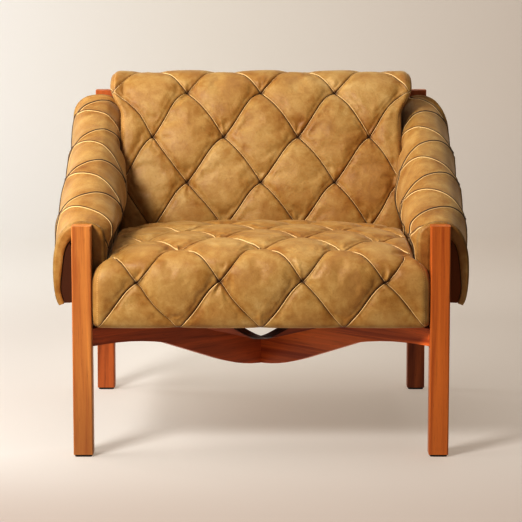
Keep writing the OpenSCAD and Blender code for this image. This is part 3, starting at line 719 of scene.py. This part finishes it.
def srgb(r, g, b):
    """Linear colour of an sRGB one in 0 to 255."""
    return tuple((c / 255 / 12.92) if c <= 10 else ((c / 255 + 0.055) / 1.055) ** 2.4 for c in (r, g, b))


def leather(name):
    """Worn camel leather. Its seams, tufts and stitches are found from what the meshes carry.
    Its seams and tuft pits get painted shade, the seams' lips a painted highlight, and the pillows' crowns
    are paler, partly from wear and partly as a painted highlight.
    """
    t = Tree(name)
    where = t.place()
    broad = t.noise(where, 8.0, 4.0, 0.55, 0.6)
    mottle = t.noise(where, 34.0, 6.0, 0.66, 0.3)
    fine = t.noise(where, 240.0, 5.0, 0.68)
    tone = t.math("ADD", t.math("MULTIPLY", broad, 0.45), t.math("MULTIPLY", mottle, 0.55))
    colour = t.ramp(tone, [
        (0.30, srgb(140, 90, 34)), (0.45, srgb(167, 122, 59)),
        (0.56, srgb(182, 144, 83)), (0.74, srgb(206, 175, 120))])
    # The pillows' crowns are paler: partly wear, partly a painted highlight.
    crown_wear_and_highlight = t.span(t.value("lift"), 0.5, 1.0, 0.0, 0.3, True)
    colour = t.blend(colour, srgb(197, 162, 104), crown_wear_and_highlight)
    speck = t.span(fine, 0.54, 0.72, 0.0, 0.3, True)
    colour = t.blend(colour, srgb(140, 86, 34), speck)
    # Seams: painted shade in the gap, a painted highlight on the folded lip on one side of it, and soft
    # painted shade around it. The two families of seams get these in different strengths, as the light falls
    # across them.
    u, v = t.value("lattice_u"), t.value("lattice_v")
    hide_part = t.value("hide")
    # The two numbers for each family set how strong the painted shade in the gap and the painted highlight on
    # the lip are.
    for kind, dark, lip_highlight in (("ADD", 0.6, 0.85), ("SUBTRACT", 0.95, 0.7)):
        a = t.math(kind, u, v)
        off = t.math("MULTIPLY", t.math("SUBTRACT", a, t.math("ROUND", a)), SEAM_PITCH)
        # Soft painted shade around the seam, a painted highlight on the lip, and painted shade in the gap.
        for place, soft, hard, share, tint in (
                (0.0, 7.0, 0.5, 0.26, srgb(112, 62, 18)), (1.4, 1.1, 0.2, lip_highlight, srgb(244, 212, 156)),
                (0.0, 1.1, 0.3, dark, srgb(38, 14, 3))):
            far = t.math("ABSOLUTE", t.math("SUBTRACT", off, place))
            share = t.math("MULTIPLY", t.span(far, hard, soft, share, 0.0, True), hide_part)
            colour = t.blend(colour, tint, share)
    edge = t.value("edge_mm")
    # Painted shade in the pits of the tufts, left out near the cushion's edges.
    tuft_pit_shade = t.math("MULTIPLY", t.span(t.value("tuft_mm"), 1.5, 12.0, 0.75, 0.0, True), t.span(edge, 14.0, 30.0))
    colour = t.blend(colour, srgb(70, 32, 8), tuft_pit_shade)
    # Stitches along the welt near the cushion's sides and along the hems
    thread = t.span(t.math("ABSOLUTE", t.math("SUBTRACT", edge, 12.5)), 0.3, 0.8, 1.0, 0.0, True)
    dash = t.span(t.math("FRACT", t.math("DIVIDE", t.value("arc_mm"), 5.0)), 0.55, 0.72, 1.0, 0.0, True)
    stitch = t.math("MULTIPLY", t.math("MULTIPLY", thread, dash), hide_part)
    colour = t.blend(colour, srgb(214, 172, 112), stitch)
    t.join(colour, t.shader.inputs["Base Color"])
    rough = t.span(mottle, 0.3, 0.75, 0.44, 0.62)
    t.join(rough, t.shader.inputs["Roughness"])
    t.shader.inputs["Specular IOR Level"].default_value = 0.4
    t.shader.inputs["Sheen Weight"].default_value = 0.22
    t.shader.inputs["Sheen Roughness"].default_value = 0.35
    t.shader.inputs["Sheen Tint"].default_value = (1.0, 0.9, 0.72, 1.0)
    grain = t.add("TexVoronoi", Scale=620.0)
    grain.feature = "SMOOTH_F1"
    t.join(where, grain.inputs["Vector"])
    pores = t.math("ADD", t.math("MULTIPLY", grain.outputs["Distance"], 0.7), t.math("MULTIPLY", fine, 0.5))
    small = t.bump(t.math("ADD", pores, t.math("MULTIPLY", stitch, 0.8)), 0.28, 0.0006)
    wave = t.noise(where, 55.0, 5.0, 0.55, 1.4)
    t.join(t.bump(wave, 0.4, 0.0026, small), t.shader.inputs["Normal"])
    return t.material


def wood(name, turns, pale, dark, seed=0.0, foot=0.0):
    """Straight-grained oiled wood. The turns bring the grain's direction to Z, one after the other. Near the
    floor it is painted darker, by the share foot: painted shade."""
    t = Tree(name)
    where = t.place()
    for turn in turns:
        mapping = t.add("Mapping")
        mapping.inputs["Rotation"].default_value = turn
        t.join(where, mapping.inputs["Vector"])
        where = mapping.outputs["Vector"]
    long = t.add("Mapping")
    long.inputs["Location"].default_value = (seed, seed * 0.7, seed * 0.3)
    long.inputs["Scale"].default_value = (1, 1, 0.04)
    t.join(where, long.inputs["Vector"])
    where = long.outputs["Vector"]
    bands = t.noise(where, 46.0, 4.0, 0.55, 0.7)
    streak = t.noise(where, 300.0, 4.0, 0.6, 0.2)
    pores = t.noise(where, 1000.0, 2.0, 0.5)
    between = tuple(mix(a, b, 0.6) for a, b in zip(dark, pale))
    colour = t.ramp(bands, [(0.30, dark), (0.47, between), (0.64, pale)])
    colour = t.blend(colour, tuple(c * 0.55 for c in dark), t.span(streak, 0.55, 0.8, 0.0, 0.5, True))
    colour = t.blend(colour, tuple(c * 0.3 for c in dark), t.span(pores, 0.62, 0.78, 0.0, 0.55, True))
    # Painted shade: darker near the floor, by the share foot.
    floor_shade = t.span(t.split(t.place())["Z"], 0.0, 0.28, foot, 0.0, True)
    colour = t.blend(colour, tuple(c * 0.5 for c in dark), floor_shade)
    t.join(colour, t.shader.inputs["Base Color"])
    t.join(t.span(streak, 0.3, 0.8, 0.34, 0.5), t.shader.inputs["Roughness"])
    t.shader.inputs["Specular IOR Level"].default_value = 0.45
    both = t.math("ADD", t.math("MULTIPLY", streak, 0.6), t.math("MULTIPLY", pores, 0.5))
    t.join(t.bump(both, 0.2, 0.0006), t.shader.inputs["Normal"])
    return t.material


def cloth(name, colour, scale):
    """Plain weave."""
    t = Tree(name)
    where = t.place()
    threads = []
    for way in ("X", "Y", "Z"):
        wave = t.add("TexWave", Scale=scale, Distortion=0.3)
        wave.bands_direction = way
        t.join(where, wave.inputs["Vector"])
        threads.append(wave.outputs["Fac"])
    over, under = t.math("MAXIMUM", threads[0], threads[1]), t.math("MAXIMUM", threads[1], threads[2])
    weave = t.math("MULTIPLY", over, under)
    shade = t.blend(tuple(c * 0.5 for c in colour), colour, weave)
    t.join(shade, t.shader.inputs["Base Color"])
    t.shader.inputs["Roughness"].default_value = 0.9
    t.join(t.bump(weave, 0.5, 0.0008), t.shader.inputs["Normal"])
    return t.material


def plastic(name, colour, rough, metal=0.0):
    """A finely grained even stuff: foam, plastic or, with metal, steel."""
    t = Tree(name)
    grain = t.noise(t.place(), 900.0, 3.0)
    pale = tuple(min(1, c * 1.8 + 0.01) for c in colour)
    shade = t.blend(colour, pale, t.span(grain, 0.4, 0.8, 0.0, 0.5))
    t.join(shade, t.shader.inputs["Base Color"])
    t.join(t.span(grain, 0.3, 0.7, rough, rough + 0.12), t.shader.inputs["Roughness"])
    t.shader.inputs["Metallic"].default_value = metal
    t.join(t.bump(grain, 0.15, 0.0003), t.shader.inputs["Normal"])
    return t.material


hide = leather("tan_leather")
WOOD_LIGHT, WOOD_DARK = srgb(221, 155, 84), srgb(174, 98, 46)
BEAM_TURN = math.atan2((Y_REAR - Y_FRONT + DECK_TOP * math.tan(RAKE)) / 2, POST_X)
UP_FROM_X, UP_FROM_Y = (0, -math.pi / 2, 0), (math.pi / 2, 0, 0)
UP_FROM_A, UP_FROM_B = [(0, 0, -BEAM_TURN), UP_FROM_X], [(0, 0, BEAM_TURN), UP_FROM_X]
wood_for = {
    "post_left": wood("wood_post_left", [], WOOD_LIGHT, WOOD_DARK, 0.0, 0.5),
    # The right front post has a darker copy of the wood: painted shade, as it stands further from the light.
    "post_right": wood("wood_post_right_shaded", [], srgb(210, 124, 50), srgb(157, 71, 20), 3.1, 0.2),
    # The rear posts have a darker copy of the wood: painted shade.
    "rear": wood("wood_rear_shaded", [], srgb(196, 112, 54), srgb(126, 56, 22), 5.3),
    "along_y": wood("wood_along_y", [UP_FROM_Y], WOOD_LIGHT, WOOD_DARK, 1.7),
    "along_x": wood("wood_along_x", [UP_FROM_X], WOOD_LIGHT, WOOD_DARK, 2.9),
    # The stretchers get a darker and a lighter copy of the wood: painted shade on the lower one and painted
    # light on the upper one, as their faces turn from and towards the light.
    "beam_a": wood("wood_beam_a_shaded", UP_FROM_A, srgb(206, 104, 48), srgb(122, 48, 20), 4.3),
    "beam_b": wood("wood_beam_b_lit", UP_FROM_B, srgb(244, 136, 60), srgb(170, 74, 27), 6.1),
    "plain": wood("wood_plain", [UP_FROM_X], srgb(214, 178, 132), srgb(170, 128, 84), 7.7),
}
dark_cloth = cloth("dark_lining", srgb(70, 44, 28), 900.0)
webbing = cloth("webbing", srgb(44, 38, 34), 420.0)
foam = plastic("foam", srgb(236, 222, 176), 0.85)
glide = plastic("glide", srgb(28, 24, 22), 0.5)
steel = plastic("screw_steel", srgb(170, 170, 168), 0.35, 1.0)
finish_of = {
    "front_post_left": "post_left", "front_post_right": "post_right",
    "rear_post_left": "rear", "rear_post_right": "rear",
    "arm_rail_left": "along_y", "arm_rail_right": "along_y",
    "side_rail_left": "along_y", "side_rail_right": "along_y",
    "stretcher_lower": "beam_a", "stretcher_upper": "beam_b",
    "back_rail_top": "along_x", "back_rail_bottom": "along_x",
    "seat_rail_front": "plain", "seat_rail_rear": "plain",
    "stretcher_dowels": "plain", "rail_dowels": "plain"}
other = {
    "arm_lining_left": dark_cloth, "arm_lining_right": dark_cloth, "dust_cover": dark_cloth,
    "seat_webbing": webbing, "back_webbing": webbing, "seat_foam": foam, "back_foam": foam,
    "foot_glides": glide, "lap_screw": steel}
for key, node in nodes.items():
    material = wood_for[finish_of[key]] if key in finish_of else other.get(key, hide)
    node.data.materials.clear()
    node.data.materials.append(material)

for piece, fill in ((seat, 0.75), (back, 0.7), (saddle_left, 0.5), (saddle_right, 0.5)):
    piece.data.materials.append(hide)
    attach(piece, "root")
# The two linings are one cloth in two tones: the left one darker, as painted shade, and the right one lighter,
# as painted light.
for piece, tone in zip(linings, (srgb(84, 43, 12), srgb(132, 70, 22))):
    piece.data.materials.clear()
    piece.data.materials.append(cloth(piece.name, tone, 900.0))
    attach(piece, "root")


# ---------------------------------------------------------------- studio
WALL_Y = 3.15
WALL_BEND = 0.5
WALL_TOP = 7.0
FLOOR_FRONT = -9.0
FLOOR_HALF = 14.0


def backdrop():
    """A pale floor that bends up into a wall, in metres. It is painted lighter on the left and darker to the
    right and at the front, and it glows a little, which lightens the shadows on it: painted light and shade.
    """
    t = Tree("backdrop")
    place = t.split(t.place())
    x, y = place["X"], place["Y"]
    # Painted light and shade: lighter on the left, near the lamps, and darker to the right.
    side = t.ramp(t.span(x, -2.2, 2.2), [
        (0.0, srgb(254, 252, 251)), (0.45, srgb(234, 226, 217)), (1.0, srgb(204, 190, 179))])
    # Painted shade: darker towards the front, and a little darker on the floor's left part before the wall.
    near = t.math("MULTIPLY", t.span(y, -1.1, 0.0, 1.0, 0.0, True), t.span(x, -0.6, 0.6, 0.8, 0.57))
    left = t.math("MULTIPLY", t.span(y, 1.0, 2.4, 0.25, 0.0, True), t.span(x, -0.7, -0.1, 1.0, 0.0, True))
    near = t.math("MAXIMUM", near, left)
    colour = t.blend(side, srgb(180, 160, 146), near)
    # The base colour is dimmed and the same colours glow warm: a painted glow that lifts and warms the shadows
    # on the floor and wall.
    t.join(t.blend(colour, (0.50, 0.54, 0.58), 1.0, "MULTIPLY"), t.shader.inputs["Base Color"])
    t.join(t.blend(colour, (1.0, 0.94, 0.86), 1.0, "MULTIPLY"), t.shader.inputs["Emission Color"])
    t.shader.inputs["Emission Strength"].default_value = 0.53
    t.shader.inputs["Roughness"].default_value = 0.75
    t.shader.inputs["Specular IOR Level"].default_value = 0.2
    profile = [(FLOOR_FRONT, 0.0), (WALL_Y, 0.0)]
    for a in np.linspace(0.1, math.pi / 2, 12):
        profile.append((WALL_Y + WALL_BEND * math.sin(a), WALL_BEND - WALL_BEND * math.cos(a)))
    profile.append((WALL_Y + WALL_BEND, WALL_TOP))
    verts = [(end, a, b) for end in (-FLOOR_HALF, FLOOR_HALF) for a, b in profile]
    n = len(profile)
    faces = [(k, k + n, k + n + 1, k + 1) for k in range(n - 1)]
    mesh = bpy.data.meshes.new("backdrop")
    mesh.from_pydata(verts, [], faces)
    mesh.polygons.foreach_set("use_smooth", [True] * len(mesh.polygons))
    mesh.materials.append(t.material)
    made = bpy.data.objects.new("backdrop", mesh)
    scene.collection.objects.link(made)


def light(name, place, target, size, power, colour):
    data = bpy.data.lights.new(name, "AREA")
    data.shape = "RECTANGLE"
    data.size, data.size_y = size
    data.energy = power
    data.color = colour
    made = bpy.data.objects.new(name, data)
    made.location = place
    made.rotation_euler = (Vector(target) - Vector(place)).to_track_quat("-Z", "Y").to_euler()
    scene.collection.objects.link(made)


backdrop()
light("key", (-1.55, -2.22, 2.32), (0, 0, 0.45), (0.75, 0.75), 115, (1.0, 0.99, 0.97))
light("side", (-2.5, -0.3, 1.7), (0.2, 0, 0.45), (1.4, 1.4), 38, (1.0, 0.98, 0.95))
light("top", (0.5, 0.1, 3.4), (0.2, 0.1, 0), (2.4, 2.0), 34, (1.0, 0.99, 0.97))
light("wall", (-2.9, 1.4, 2.4), (-0.8, 3.6, 0.9), (1.6, 1.6), 42, (1.0, 0.99, 0.97))
world = bpy.data.worlds.new("studio")
world.use_nodes = True
world.node_tree.nodes["Background"].inputs["Color"].default_value = (1.0, 0.96, 0.91, 1)
world.node_tree.nodes["Background"].inputs["Strength"].default_value = 0.07
scene.world = world
scene.view_settings.view_transform = "Standard"
scene.view_settings.gamma = 0.74

# The photograph's camera, fitted to the posts, the rails and where the chair stands on the floor
FOCAL_PIXELS, PHOTO_PIXELS, SENSOR_MM = 2271.9, 522, 36
CAMERA_AWAY, CAMERA_HIGH, CAMERA_DOWN = 5.0, 1.1721, 8.264
camera_data = bpy.data.cameras.new("camera")
camera_data.lens = FOCAL_PIXELS * SENSOR_MM / PHOTO_PIXELS
camera_data.clip_end = 60
camera = bpy.data.objects.new("camera", camera_data)
camera.location = (0.0, Y_FRONT * MM - CAMERA_AWAY, CAMERA_HIGH)
camera.rotation_euler = (math.pi / 2 - math.radians(CAMERA_DOWN), 0, 0)
scene.collection.objects.link(camera)
scene.camera = camera
